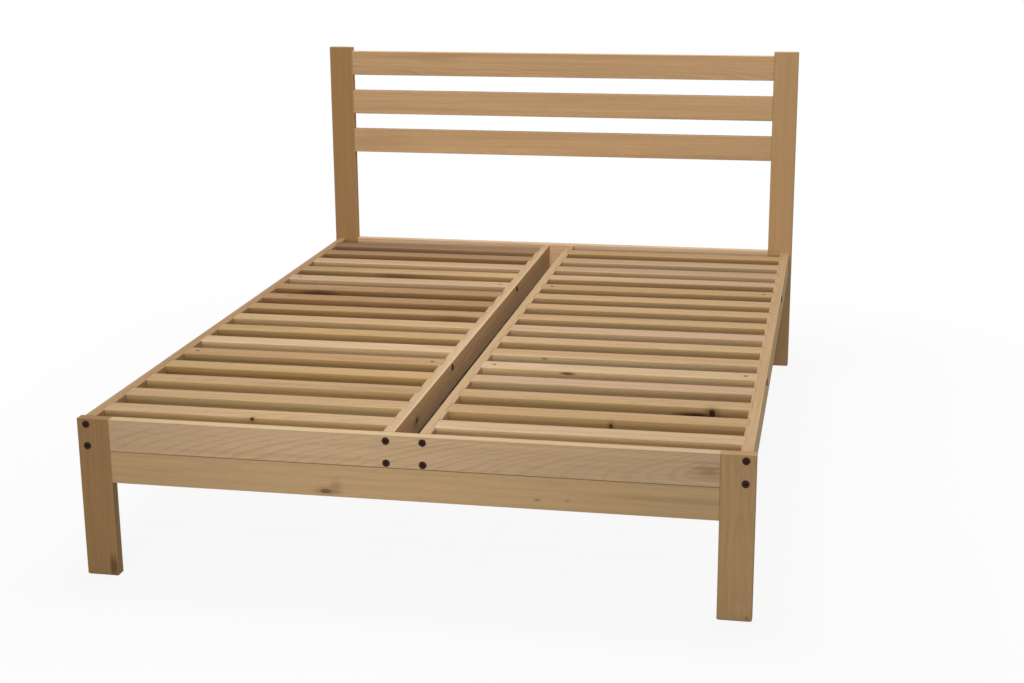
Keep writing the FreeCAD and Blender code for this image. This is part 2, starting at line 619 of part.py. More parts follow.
check_document()
write_sub_parts()
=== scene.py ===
"""Slatted platform bed in unfinished poplar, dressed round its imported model.

Run as a script, it builds the boards, gives every part its wood or metal, and sets the stage.
Lengths are metres unless a comment says millimetres. Z 0 is the floor, and +Y runs from the
foot end to the head end.
"""

import math

import bpy
import numpy as np
from mathutils import Matrix, Vector


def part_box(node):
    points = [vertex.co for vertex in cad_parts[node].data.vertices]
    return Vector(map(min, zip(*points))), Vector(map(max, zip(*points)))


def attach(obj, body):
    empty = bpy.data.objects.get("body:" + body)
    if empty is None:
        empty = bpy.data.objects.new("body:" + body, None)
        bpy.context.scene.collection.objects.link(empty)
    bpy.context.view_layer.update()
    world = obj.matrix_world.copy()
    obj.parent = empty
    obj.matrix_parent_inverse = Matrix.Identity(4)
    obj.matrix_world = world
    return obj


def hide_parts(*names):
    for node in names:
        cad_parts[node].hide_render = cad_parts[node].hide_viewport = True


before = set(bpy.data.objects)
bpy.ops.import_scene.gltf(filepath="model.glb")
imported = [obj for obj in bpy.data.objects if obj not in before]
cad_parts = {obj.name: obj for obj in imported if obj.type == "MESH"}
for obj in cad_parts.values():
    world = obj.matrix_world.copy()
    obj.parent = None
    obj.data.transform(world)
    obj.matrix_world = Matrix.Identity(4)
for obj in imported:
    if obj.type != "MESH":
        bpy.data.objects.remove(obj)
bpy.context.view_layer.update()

bl_info = {
    "name": "Platform Bed Dressing",
    "version": (1, 0, 0),
    "blender": (4, 5, 0),
    "location": "3D View > Sidebar > Platform Bed",
    "description": "Builds the boards, wood, fittings and stage of a slatted platform bed",
    "category": "Object",
}

BODY = "root"
MM = 0.001


# Sizes and colours that a user would change

def length_setting(name, description, default):
    return bpy.props.FloatProperty(
        name=name, description=description, default=default, min=0.0, unit="LENGTH", precision=5
    )


def power_setting(name, description, default):
    return bpy.props.FloatProperty(
        name=name, description=description, default=default, min=0.0, unit="POWER"
    )


def share_setting(name, description, default):
    return bpy.props.FloatProperty(
        name=name, description=description, default=default, min=0.0, max=1.0, subtype="FACTOR"
    )


def colour_setting(name, description, default):
    return bpy.props.FloatVectorProperty(
        name=name, description=description, default=default, size=3, min=0.0, max=1.0,
        subtype="COLOR",
    )


class BoardSettings(bpy.types.PropertyGroup):
    """How the planed boards are shaped."""

    slat_round: length_setting("Slat edges", "Radius of a slat's long edges", 0.0035)
    board_round: length_setting("Board edges", "Radius of the edges of legs and boards", 0.0015)
    end_bevel: length_setting("End bevel", "Sanded edge round the end of a board", 0.0005)
    toe_bevel: length_setting("Toe bevel", "Bevel round the lower end of a leg", 0.003)
    waviness: length_setting("Waviness", "Most that a planed face wanders from flat", 0.00025)


class WoodSettings(bpy.types.PropertyGroup):
    """Colours and figure of the poplar."""

    cream: colour_setting("Cream", "Palest sapwood", (0.69, 0.49, 0.30))
    straw: colour_setting("Straw", "Yellow sapwood", (0.625, 0.42, 0.227))
    rose: colour_setting("Rose", "Pale pinkish wood", (0.62, 0.42, 0.265))
    tan: colour_setting("Tan", "Plain tan wood", (0.595, 0.39, 0.206))
    honey: colour_setting("Honey", "Yellow-brown wood", (0.545, 0.35, 0.173))
    russet: colour_setting("Russet", "Reddish brown wood", (0.49, 0.295, 0.148))
    umber: colour_setting("Umber", "Brown heartwood", (0.42, 0.25, 0.13))
    walnut: colour_setting("Dark", "Dark reddish heartwood", (0.31, 0.185, 0.105))
    blush: colour_setting("Blush", "Pale pink wood of the upper foot board", (0.70, 0.475, 0.266))
    wheat: colour_setting("Wheat", "Yellow wood of the lower foot board", (0.655, 0.43, 0.215))
    chestnut: colour_setting("Chestnut", "Orange brown, left leg and post", (0.42, 0.238, 0.086))
    maple: colour_setting("Maple", "Warm brown, right leg and post", (0.565, 0.35, 0.16))
    olive: colour_setting("Olive", "Greenish heartwood", (0.44, 0.335, 0.17))
    amber: colour_setting("Amber", "Orange tan of the headboard", (0.685, 0.438, 0.222))
    yellow: colour_setting("Yellow", "Clear yellow wood", (0.61, 0.40, 0.19))
    knot: colour_setting("Knot", "Dark wood at the heart of a knot", (0.036, 0.013, 0.004))
    ring_spacing: length_setting("Ring spacing", "Growth rings, one to the next", 0.0045)
    ring_share: share_setting("Ring strength", "How far latewood darkens the wood", 0.35)
    fibre_share: share_setting("Fibre strength", "Lightness of the fine streaks", 0.16)
    band_share: share_setting("Band strength", "How far broad bands change the colour", 0.5)


class FittingSettings(bpy.types.PropertyGroup):
    """Bolts and barrel nuts."""

    bronze: colour_setting("Bronze", "Dark plating of the bolts", (0.040, 0.013, 0.011))
    # Also the colour of the bolt rims' lighter ring, partly a painted highlight
    worn: colour_setting("Worn bronze", "Plating where it is rubbed", (0.085, 0.034, 0.028))
    nut_metal: colour_setting("Nut", "Plating of the barrel nuts", (0.17, 0.11, 0.065))


class StageSettings(bpy.types.PropertyGroup):
    """Floor, light and camera."""

    floor: colour_setting("Floor", "Pale studio floor", (0.85, 0.85, 0.84))
    floor_shade: colour_setting("Floor bounce", "Light that the floor returns", (0.3, 0.29, 0.28))
    top_strength: power_setting("Top light", "The large light above the bed", 130.0)
    front_strength: power_setting("Front light", "The low light far beyond the foot end", 17.1)
    fill_strength: power_setting("Fill light", "The high light beyond the foot end", 0.68)
    ambient: share_setting("Ambient", "Even light of the room", 0.27)
    lens: bpy.props.FloatProperty(
        name="Lens", description="Focal length, for a 36 mm wide frame", default=59.724,
        min=1.0, unit="CAMERA",
    )


SETTINGS = {
    "bed_boards": BoardSettings,
    "bed_wood": WoodSettings,
    "bed_fittings": FittingSettings,
    "bed_stage": StageSettings,
}


# Shader maths

class Graph:
    """The nodes of one material, or of the world."""

    def __init__(self, name, kind="materials"):
        self.owner = getattr(bpy.data, kind).new(name)
        self.owner.use_nodes = True
        self.nodes = self.owner.node_tree.nodes
        self.links = self.owner.node_tree.links
        self.nodes.clear()

    def node(self, kind, settings=None, inputs=None, output=0):
        """Adds a node: its settings first, then the values or links of its sockets."""
        node = self.nodes.new(kind)
        for key, setting in (settings or {}).items():
            setattr(node, key, setting)
        for key, given in (inputs or {}).items():
            if isinstance(given, Value):
                self.links.new(given.socket, node.inputs[key])
            else:
                node.inputs[key].default_value = given
        return Value(self, node.outputs[output]) if node.outputs else node

    def math(self, operation, *values, clamp=False):
        settings = {"operation": operation, "use_clamp": clamp}
        return self.node("ShaderNodeMath", settings, dict(enumerate(values)))

    def mix(self, share, first, second, blend="MIX"):
        """A colour between two others."""
        settings = {"data_type": "RGBA", "blend_type": blend, "clamp_factor": True}
        first, second = as_colour(first), as_colour(second)
        return self.node("ShaderNodeMix", settings, {0: share, 6: first, 7: second}, output=2)

    def smooth(self, value, low, high, at_low=0.0, at_high=1.0):
        """A smooth step from one value to another between two limits."""
        settings = {"interpolation_type": "SMOOTHSTEP"}
        inputs = {0: value, 1: low, 2: high, 3: at_low, 4: at_high}
        return self.node("ShaderNodeMapRange", settings, inputs)

    def scaled(self, vector, scale, shift):
        """A vector times a scale plus a shift, each along its own axis."""
        inputs = {0: vector, 1: tuple(shift), 3: tuple(scale)}
        return self.node("ShaderNodeMapping", {"vector_type": "POINT"}, inputs)

    def tinted(self, colour, factors):
        """A colour with each part times its own factor."""
        return self.mix(1.0, colour, factors, "MULTIPLY")

    def noise(self, vector, detail=2.0, roughness=0.5):
        """Noise about 0, from about -0.5 to 0.5, one wave for each unit of the vector."""
        inputs = {"Vector": vector, "Scale": 1.0, "Detail": detail, "Roughness": roughness}
        return self.node("ShaderNodeTexNoise", {}, inputs) - 0.5

    def finish(self, inputs, height, bump_distance, bump_share):
        """Connects the surface shader, with a bump worked out from a height."""
        bump = {"Strength": bump_share, "Distance": bump_distance, "Height": height}
        inputs = dict(inputs, Normal=self.node("ShaderNodeBump", {}, bump))
        shader = self.node("ShaderNodeBsdfPrincipled", {}, inputs)
        self.node("ShaderNodeOutputMaterial", {}, {"Surface": shader})
        return self.owner


class Value:
    """A socket whose arithmetic adds Math nodes."""

    def __init__(self, graph, socket):
        self.graph = graph
        self.socket = socket

    def __add__(self, other):
        return self.graph.math("ADD", self, other)

    def __sub__(self, other):
        return self.graph.math("SUBTRACT", self, other)

    def __mul__(self, other):
        return self.graph.math("MULTIPLY", self, other)

    def __truediv__(self, other):
        return self.graph.math("DIVIDE", self, other)

    def clamped(self):
        return self.graph.math("ADD", self, 0.0, clamp=True)


def as_colour(given):
    """Three numbers as an opaque colour; a socket stays as it is."""
    return given if isinstance(given, Value) else (*given, 1.0)


def darkened(colour, shares):
    """A colour with each part cut to its own share."""
    return tuple(part * share for part, share in zip(colour, shares))


def toned(colour, scale):
    """A colour, lighter or darker."""
    return tuple(min(1.0, part * scale) for part in colour)


# Boards: where they are and how they lie

class Board:
    """A board's middle, half sizes and axes: along it, across it, and through it."""

    def __init__(self, node):
        low, high = (np.array(corner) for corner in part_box(node))
        self.node = node
        self.middle = (low + high) / 2
        self.half = (high - low) / 2
        order = np.argsort(-self.half)
        self.along, self.across, self.through = (int(axis) for axis in order)
        self.seed = sum((place + 1) * ord(letter) for place, letter in enumerate(node))
        self.random = np.random.default_rng(self.seed)

    def in_axes(self, along, across, through):
        """Three numbers given along, across and through the board, in X, Y, Z order."""
        ordered = np.zeros(3)
        ordered[[self.along, self.across, self.through]] = along, across, through
        return ordered


LATEWOOD = (0.62, 0.53, 0.42)
# Painted shade colour for the slats' front and back faces, which lie in shade between the slats
SIDE_SHADE_TINT = (1.09, 1.09, 0.96)
SHADE_BALANCE = (1.0, 1.01, 1.045)

# Each noise of the wood: its waves in a metre along the board and across it, the random shift
# that it takes, its detail and its roughness
FIGURES = {
    "warp": (2.2, 5.0, 0, 2.0, 0.5),
    "drift": (0.8, 0.0, 1, 1.0, 0.5),
    "wobble": (60.0, 160.0, 2, 2.0, 0.5),
    "rub": (14.0, 9.0, 2, 3.0, 0.5),
    "waver": (24.0, 70.0, 3, 2.0, 0.55),
    "vary": (1.5, 18.0, 3, 1.0, 0.5),
    "fibre": (7.0, 420.0, 4, 5.0, 0.68),
    "streak": (1.6, 95.0, 5, 3.0, 0.55),
    "fleck": (38.0, 1500.0, 6, 1.0, 0.5),
    "band": (0.9, 16.0, 7, 2.0, 0.5),
}
SHIFT_COUNT = 8

# Depths below a board's surface between which an effect grows from none to full
END_GRAIN, RUBBED_EDGE = (0.0012, 0.0002), (0.004, 0.0)
SIDE_EDGE, FACE_EDGE = (0.004, 0.0005), (0.002, 0.0003)

# What a look, a knot and a stain say unless told otherwise. A stain's edge says where it
# begins and where it is full, in shares of its size.
PLAIN_LOOK = {
    "draw": 0, "warp": 0.03, "waver": 0.0012, "turn": 0.0, "bow": 0.0,
    "ring_start": 0.30, "ring_vary": 1.6, "lift": 1.0, "grain": 1.0, "slope": 0.0,
    "end_share": 0.45, "side_share": 0.0, "stains": (),
}
PLAIN_KNOT = {"strength": 1.0, "push": 0.010}
PLAIN_STAIN = {"strength": 0.6, "ragged": 1.6, "edge": (1.2, 0.2)}

PITH_DRIFT, RING_UNEVENNESS, RING_WAVES = 0.03, 2.2, 70.0
RING_DARKEST, RING_CLOSING, RING_PRESENCE = 0.88, 0.92, 0.65
BAND_EDGE, FLECK_EDGE, FLECK_SHARE = (-0.12, 0.16), (0.13, 0.22), 0.22
STREAK_SHARE, FIBRE_CONTRAST = 0.42, 2.0
KNOT_WOBBLE, KNOT_RINGS, KNOT_RING_EDGE = 0.7, 2.7, (0.15, 0.85)
HEART_EDGE, HEART_SHARE, EYE_SHARE = (1.2, 0.8), 0.97, 0.4
EYE_OUTSIDE, EYE_INSIDE = (1.0, 0.75), (0.05, 0.3)
HALO_EDGE, HALO_SHARE = (4.0, 0.9), 0.35
RUB_PRESENCE, RUB_SHARE = 0.55, 0.5
WOOD_ROUGHNESS, WOOD_GLOSS, WOOD_BUMP = 0.66, 0.08, 0.00022


def wood_material(board, look):
    """Wood cut from a log. Growth rings are tubes round a pith that runs along the board and
    wanders; where a face cuts them they show as straight grain or arches. Fibres, flecks, bands
    of colour, a knot and the darker end grain come on top. Everything reads Object coordinates."""
    wood = bpy.context.scene.bed_wood
    settings = {key: getattr(wood, key) for key in ("ring_spacing", "ring_share", "band_share")}
    look = {**PLAIN_LOOK, **settings, **look}
    graph = Graph("poplar_" + board.node)
    place = graph.node("ShaderNodeTexCoord", output="Object")
    rng = np.random.default_rng(board.seed + look["draw"])
    shifts = rng.uniform(5.0, 60.0, (SHIFT_COUNT, 3))

    axes = graph.node("ShaderNodeSeparateXYZ", {}, {0: place})
    parts = [Value(graph, axes.socket.node.outputs[axis]) for axis in range(3)]
    along, across, through = (
        parts[axis] - float(board.middle[axis])
        for axis in (board.along, board.across, board.through)
    )

    def figure(name, rate=None):
        """One of the wood's noises; a rate takes the place of its waves along the board."""
        usual_rate, across_rate, shift, detail, roughness = FIGURES[name]
        scale = board.in_axes(rate or usual_rate, across_rate, across_rate)
        vector = graph.scaled(place, scale, shifts[shift] - board.middle * scale)
        return graph.noise(vector, detail, roughness)

    def distance_from(spot):
        """How far a place is from a spot's middle, 1 at the edge of its ellipsoid."""
        size = board.in_axes(*spot["size"]) * MM
        near = graph.scaled(place, 1 / size, -np.array(spot["at"]) * MM / size)
        settings = {"operation": "LENGTH"}
        return graph.node("ShaderNodeVectorMath", settings, {0: near}, output="Value")

    def near_surface(axis, position, depths):
        """0 deep in the board, 1 at its two surfaces on one axis."""
        limits = (float(board.half[axis]) - depth for depth in depths)
        return graph.smooth(graph.math("ABSOLUTE", position), *limits)

    pith_across = look.get("pith_across", rng.uniform(-0.05, 0.05))
    pith_depth = look.get("pith_depth", rng.uniform(0.04, 0.12))
    bow = along * along * look["bow"]
    side = across - along * look["turn"] - bow - pith_across + figure("drift") * PITH_DRIFT
    depth = through + along * look.get("tilt", rng.uniform(-0.03, 0.03)) + pith_depth
    radius = graph.math("SQRT", side * side + depth * depth)
    radius = radius + figure("warp", look.get("arch")) * look["warp"]
    radius = radius + figure("waver") * look["waver"]

    if "knot" in look:
        knot = {**PLAIN_KNOT, **look["knot"]}
        distance = distance_from(knot) + figure("wobble") * KNOT_WOBBLE
        heart = graph.smooth(distance, *HEART_EDGE) * knot["strength"]
        eye = graph.smooth(graph.math("FRACT", distance * KNOT_RINGS), *KNOT_RING_EDGE)
        eye = eye * graph.smooth(distance, *EYE_OUTSIDE) * graph.smooth(distance, *EYE_INSIDE)
        halo = graph.smooth(distance, *HALO_EDGE)
        radius = radius + halo * halo * knot["push"]

    ring_line = graph.node("ShaderNodeCombineXYZ", {}, {0: radius * RING_WAVES})
    uneven = graph.noise(ring_line) * RING_UNEVENNESS
    turns = radius / look["ring_spacing"] + uneven + float(rng.uniform(0, 9))
    within = graph.math("FRACT", turns)
    latewood = graph.smooth(within, look["ring_start"], RING_DARKEST)
    latewood = latewood * graph.smooth(within, 1.0, RING_CLOSING)
    latewood = latewood * (figure("vary") * look["ring_vary"] + RING_PRESENCE).clamped()

    fibre, streak = figure("fibre"), figure("streak")
    fleck = graph.smooth(figure("fleck"), *FLECK_EDGE)
    band = graph.smooth(figure("band"), *BAND_EDGE)
    tone, accent = look["tone"], look["accent"]

    colour = graph.mix(
        band * look["band_share"], toned(tone, look["lift"]), toned(accent, look["lift"])
    )
    for stain in look["stains"]:
        stain = {**PLAIN_STAIN, **stain}
        mask = graph.smooth(distance_from(stain) + streak * stain["ragged"], *stain["edge"])
        colour = graph.mix(mask * stain["strength"], colour, stain["colour"])
    colour = graph.mix(latewood * look["ring_share"], colour, darkened(tone, LATEWOOD))
    grain = streak * STREAK_SHARE + fibre * wood.fibre_share * FIBRE_CONTRAST
    shade = grain * look["grain"] + along * look["slope"] + 1.0
    shades = {channel: shade * share for channel, share in enumerate(SHADE_BALANCE)}
    colour = graph.tinted(colour, graph.node("ShaderNodeCombineColor", {}, shades))
    colour = graph.mix(fleck * FLECK_SHARE, colour, toned(accent, 0.35))
    if "knot" in look:
        colour = graph.mix(halo * knot["strength"] * HALO_SHARE, colour, toned(accent, 0.5))
        paler = toned(tuple(wood.chestnut), 0.35)
        heartwood = graph.mix(eye * EYE_SHARE, tuple(wood.knot), paler)
        colour = graph.mix(heart * HEART_SHARE, colour, heartwood)

    end = near_surface(board.along, along, END_GRAIN)
    colour = graph.mix(end * look["end_share"], colour, toned(accent, 0.55))
    rub = near_surface(board.across, across, RUBBED_EDGE)
    rub = rub * near_surface(board.through, through, RUBBED_EDGE)
    rub = (rub * (figure("rub") + RUB_PRESENCE)).clamped()
    colour = graph.mix(rub * RUB_SHARE, colour, toned(tone, 0.72))
    # Sides of a board: the slats' sides get painted shade colour, and a listed side tint is partly
    # wood tone and partly painted light and shade
    sides = near_surface(board.across, across, SIDE_EDGE)
    colour = graph.mix(sides * look["side_share"], colour, graph.tinted(colour, SIDE_SHADE_TINT))
    if "side_tint" in look:
        colour = graph.mix(sides, colour, graph.tinted(colour, look["side_tint"]))
    # A face tint lightens or darkens the board's broad faces: painted light and shade
    if "face" in look:
        faces = near_surface(board.through, through, FACE_EDGE)
        colour = graph.mix(faces, colour, graph.tinted(colour, look["face"]))

    roughness = (fibre * 0.22 + latewood * -0.10 + WOOD_ROUGHNESS).clamped()
    height = fibre + latewood * -0.25 + fleck * -0.9 + streak * 0.5
    if "knot" in look:
        height = height - heart * 0.8
    inputs = {"Base Color": colour, "Roughness": roughness, "Specular IOR Level": WOOD_GLOSS}
    return graph.finish(inputs, height, bump_distance=WOOD_BUMP, bump_share=0.55)


# Surfaces

def grid_faces(rows, columns):
    """Quads of a grid whose columns close on themselves, and a flat cap at each end."""
    row, column = np.meshgrid(np.arange(rows - 1), np.arange(columns), indexing="ij")
    after = (column + 1) % columns
    corners = [row * columns + column, row * columns + after,
               (row + 1) * columns + after, (row + 1) * columns + column]
    caps = [list(range(columns))[::-1], list(range((rows - 1) * columns, rows * columns))]
    return np.stack(corners, -1).reshape(-1, 4).tolist() + caps


def slow_wave(rng, places, waves=3):
    """A smooth wave from -1 to 1: a sum of sines of a few low rates and random phases."""
    rates = rng.uniform(0.4, 1.0, waves) * np.arange(1, waves + 1)
    phases = rng.uniform(0, 2 * math.pi, waves)
    heights = np.sin(places[..., None] * rates * 2 * math.pi + phases) / np.arange(1, waves + 1)
    return heights.sum(-1) / 2


STATIONS, CORNER_STEPS, EDGE_SWELL = 33, 7, 0.18
FACE_PLACES = (0.2, 0.4, 0.6, 0.8)


def board_points(board, radius, bevel_low, bevel_high, waviness):
    """A planed board as points of a grid: stations along it, and places round its section.
    The section is a rectangle with quarter-circle corners: corner centre plus the radius times
    (cosine, sine). The radius swells and shrinks a little along each edge, the faces wander by
    the waviness, and the sections at the ends shrink by the bevel."""
    long_half, wide_half, thick_half = (
        float(board.half[axis]) for axis in (board.along, board.across, board.through)
    )
    rng = board.random
    inner = np.linspace(-1, 1, STATIONS) * (long_half - max(bevel_low, bevel_high) - 2 * MM)
    stations = np.concatenate((
        [-long_half] * 2, [-long_half + bevel_low, -long_half + bevel_low + MM], inner,
        [long_half - bevel_high - MM, long_half - bevel_high], [long_half] * 2,
    ))
    inset = np.zeros(len(stations))
    inset[:2] = bevel_low + MM, bevel_low
    inset[-2:] = bevel_high, bevel_high + MM

    turn = np.linspace(0, math.pi / 2, CORNER_STEPS)
    corner = np.repeat(np.arange(4), len(turn))
    angle = (corner.reshape(4, -1) * math.pi / 2 + turn).ravel()
    sign_wide = np.array([1, -1, -1, 1])[corner]
    sign_thick = np.array([1, 1, -1, -1])[corner]
    swell = np.stack([slow_wave(rng, stations * 3) for _ in range(4)], 1)[:, corner]
    arc = radius * (1 + EDGE_SWELL * swell)
    wide = sign_wide * (wide_half - arc) + arc * np.cos(angle)
    thick = sign_thick * (thick_half - arc) + arc * np.sin(angle)

    steps = []
    for side in range(4):
        first = side * len(turn) + len(turn) - 1
        second = (first + 1) % len(corner)
        near = MM / (2 * (thick_half if side % 2 else wide_half))
        shares = np.array([near, *FACE_PLACES, 1 - near])
        gap_wide = wide[:, [second]] - wide[:, [first]]
        gap_thick = thick[:, [second]] - thick[:, [first]]
        rows = slice(side * len(turn), (side + 1) * len(turn))
        steps.append((
            np.concatenate((wide[:, rows], wide[:, [first]] + gap_wide * shares), 1),
            np.concatenate((thick[:, rows], thick[:, [first]] + gap_thick * shares), 1),
        ))
    wide = np.concatenate([step[0] for step in steps], 1)
    thick = np.concatenate([step[1] for step in steps], 1)

    wide_share, thick_share = wide / wide_half, thick / thick_half
    wide = wide - np.sign(wide) * inset[:, None] * np.abs(wide_share)
    thick = thick - np.sign(thick) * inset[:, None] * np.abs(thick_share)
    hollow = -waviness * (0.5 + 0.5 * slow_wave(rng, stations * 2))[:, None]
    thick = thick + hollow * thick_share * (1 - wide_share ** 2)
    wide = wide + hollow * wide_share * (1 - thick_share ** 2)
    points = np.zeros((*wide.shape, 3))
    points[..., board.along] = stations[:, None]
    points[..., board.across] = wide
    points[..., board.through] = thick
    return points + board.middle


def new_piece(name, points, faces, material):
    """A mesh object at the origin, smooth, riding on the bed."""
    mesh = bpy.data.meshes.new(name)
    mesh.from_pydata(points.reshape(-1, 3).tolist(), [], faces)
    mesh.validate()
    mesh.polygons.foreach_set("use_smooth", np.ones(len(mesh.polygons), bool))
    mesh.materials.append(material)
    mesh.update()
    piece = bpy.data.objects.new(name, mesh)
    bpy.context.scene.collection.objects.link(piece)
    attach(piece, BODY)
    return piece


def outward(board, faces):
    """Grid faces wound so that they face outwards: the axes' order decides the turn."""
    order = (board.along, board.across, board.through)
    right_handed = order in ((0, 1, 2), (1, 2, 0), (2, 0, 1))
    return [face[::-1] for face in faces] if right_handed else faces


def make_board(node, look, radius, bevel_low, bevel_high):
    """Replaces a board's node with a planed board and gives it its own wood."""
    settings = bpy.context.scene.bed_boards
    board = Board(node)
    points = board_points(board, radius, bevel_low, bevel_high, settings.waviness)
    faces = outward(board, grid_faces(*points.shape[:2]))
    piece = new_piece(node + "_board", points, faces, wood_material(board, look))
    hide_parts(node)


def dress_node(node, material):
    """Gives a node that keeps its own shape a better material."""
    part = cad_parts[node]
    for place in range(max(1, len(part.material_slots))):
        if len(part.material_slots) <= place:
            part.data.materials.append(material)
        part.material_slots[place].link = "OBJECT"
        part.material_slots[place].material = material


# Looks of the single boards

def spot(at, size, **more):
    """A knot or stain: its middle in millimetres, and its half sizes in millimetres along,
    across and through the board."""
    return dict({"at": at, "size": size}, **more)


def tones():
    """The stock of poplar: a letter for each tone, with the tone its bands run to."""
    wood = bpy.context.scene.bed_wood
    pairs = {
        "a": (wood.amber, toned(wood.amber, 0.9)), "b": (wood.russet, wood.umber),
        "c": (wood.cream, wood.straw), "d": (wood.walnut, wood.umber),
        "f": (wood.blush, wood.cream), "g": (wood.wheat, wood.tan),
        "h": (wood.honey, wood.russet), "m": (wood.maple, wood.honey),
        "n": (wood.chestnut, wood.umber), "r": (wood.rose, wood.tan),
        "s": (wood.straw, wood.tan), "t": (wood.tan, wood.honey),
        "u": (wood.umber, wood.walnut), "y": (wood.yellow, wood.olive),
    }
    return {letter: (tuple(tone), tuple(accent)) for letter, (tone, accent) in pairs.items()}


def look_of(letter, **more):
    """A look from the letter of a wood's tone: its colour, its second colour and any changes."""
    tone, accent = tones()[letter]
    return dict({"tone": tone, "accent": accent}, **more)


# The tones of the slats from the foot end, and the slats that differ from their tone: how light
# the board is, how its front and back faces are tinted, partly wood tone and partly painted
# light and shade, and how much lighter a metre makes it towards +X
SLAT_WOODS = {"left": "sttyhcyshbbrtrud", "right": "cttrctsrttthrRRh"}
TIE_SLATS = (5, 12)
LIFTS = {("left", 3): 0.93, ("left", 5): 1.04, ("left", 6): 1.03, ("left", 9): 0.95,
         ("left", 14): 0.96, ("left", 15): 1.03, ("right", 11): 1.04}
DARKER_LIFT, SLAT_RINGS = 0.88, 0.26
SIDE_TONES_AND_LIGHT = {
    (1.05, 1.08, 1.12): {"left": (1,), "right": (1,)},
    (1.06, 1.14, 1.16): {"left": (2,), "right": ()},
    (1.17, 1.17, 1.17): {"left": (3, 6, 8, 12), "right": (5, 8, 15)},
    (1.22, 1.34, 1.55): {"left": (), "right": (6,)},
    (1.30, 1.26, 1.22): {"left": (14, 16), "right": (14,)},
    (0.98, 0.88, 0.84): {"left": (7, 10), "right": ()},
    (0.89, 0.83, 0.75): {"left": (4, 9, 11, 13, 15), "right": (13, 16)},
}
NEAR_SLATS = 8
# Painted light: the near slats grow lighter towards the middle of the bed, a painted pool of light
NEAR_PAINTED_LIGHT_SLOPES = {"left": 0.11, "right": -0.07}
SLOPES = {("left", 3): -0.2, ("left", 13): 0.45, ("left", 16): 0.45, ("right", 13): -0.15}


def slat_spots():
    """The knots and stains of the slats, by side and number."""
    wood = bpy.context.scene.bed_wood
    dark, green, pink = tuple(wood.walnut), tuple(wood.olive), tuple(wood.russet)
    return {
        ("left", 1): {"knot": spot((-372, -952, 374), (5, 4, 4.5))},
        ("left", 9): {"stains": [spot((-130, 27, 372), (60, 16, 12), colour=dark)]},
        ("left", 11): {"stains": [
            spot((-596, 272, 366), (60, 16, 12), colour=toned(dark, 0.5), strength=0.8),
        ]},
        ("left", 13): {"stains": [
            spot((-400, 517, 366), (100, 16, 13), colour=toned(dark, 0.8), strength=0.85),
            spot((-330, 517, 364), (110, 22, 14), colour=green, strength=0.7),
            spot((-600, 517, 356), (330, 8, 14), colour=green, strength=0.5),
        ]},
        ("right", 2): {"knot": spot((427, -829.6, 361), (4, 5, 7), strength=0.8), "stains": [
            spot((427, -829.6, 362), (12, 12, 14), colour=dark),
            spot((58, -827, 372), (16, 12, 9), colour=pink, strength=0.8),
        ]},
        ("right", 3): {"knot": spot((643, -707, 365), (7, 7, 9)), "stains": [
            spot((608, -707, 357), (64, 14, 10), colour=toned(wood.knot, 2), strength=1.0,
                 ragged=0.8),
            spot((643, -707, 371), (20, 16, 12), colour=dark, strength=0.8),
        ]},
        ("right", 5): {"stains": [
            spot((269, -462, 371), (24, 8, 5), colour=toned(wood.knot, 2.5), strength=0.9,
                 ragged=0.8),
        ]},
        ("right", 6): {"stains": [
            spot((190, -340, 371), (10, 7, 5), colour=toned(dark, 0.7), strength=0.8, ragged=0.8),
        ]},
        ("right", 7): {"stains": [spot((385, -200, 378), (150, 9, 8), colour=pink, strength=0.5)]},
        ("right", 13): {"stains": [spot((620, 517, 356), (300, 8, 14), colour=dark, strength=0.3)]},
        ("right", 14): {"stains": [
            spot((223, 639, 368), (45, 12, 12), colour=green, strength=0.9),
            spot((110, 639, 378), (70, 40, 10), colour=pink, strength=0.3),
        ]},
    }


def slat_look(side, number):
    """A slat's look; a capital letter asks for a darker board of that tone."""
    letter = SLAT_WOODS[side][number - 1]
    lift = DARKER_LIFT if letter.isupper() else LIFTS.get((side, number), 1.0)
    slope = NEAR_PAINTED_LIGHT_SLOPES[side] if number <= NEAR_SLATS else 0.0
    more = slat_spots().get((side, number), {})
    for tint, numbers in SIDE_TONES_AND_LIGHT.items():
        if number in numbers[side]:
            more["side_tint"] = tint
    return look_of(letter.lower(), lift=lift, slope=SLOPES.get((side, number), slope),
                   side_share=1.0, ring_share=SLAT_RINGS, **more)


class BedSlats(bpy.types.Operator):
    """Builds the slats of both half decks"""

    bl_idname = "bed.slats"
    bl_label = "Slats"

    def execute(self, context):
        boards = context.scene.bed_boards
        for side in SLAT_WOODS:
            for number in range(1, len(SLAT_WOODS[side]) + 1):
                node = f"slat_{side}_{number:02d}"
                look = slat_look(side, number)
                if number in TIE_SLATS:
                    dress_node(node, wood_material(Board(node), look))
                    continue
                bevel = boards.end_bevel
                make_board(node, look, boards.slat_round, bevel, bevel)
        return {"FINISHED"}


# Millimetres: the left inner rail on X, and the faces of both ends on Y
INNER_RAIL, FOOT_FACE, HEAD_FACE = -28.25, -1026, 1000


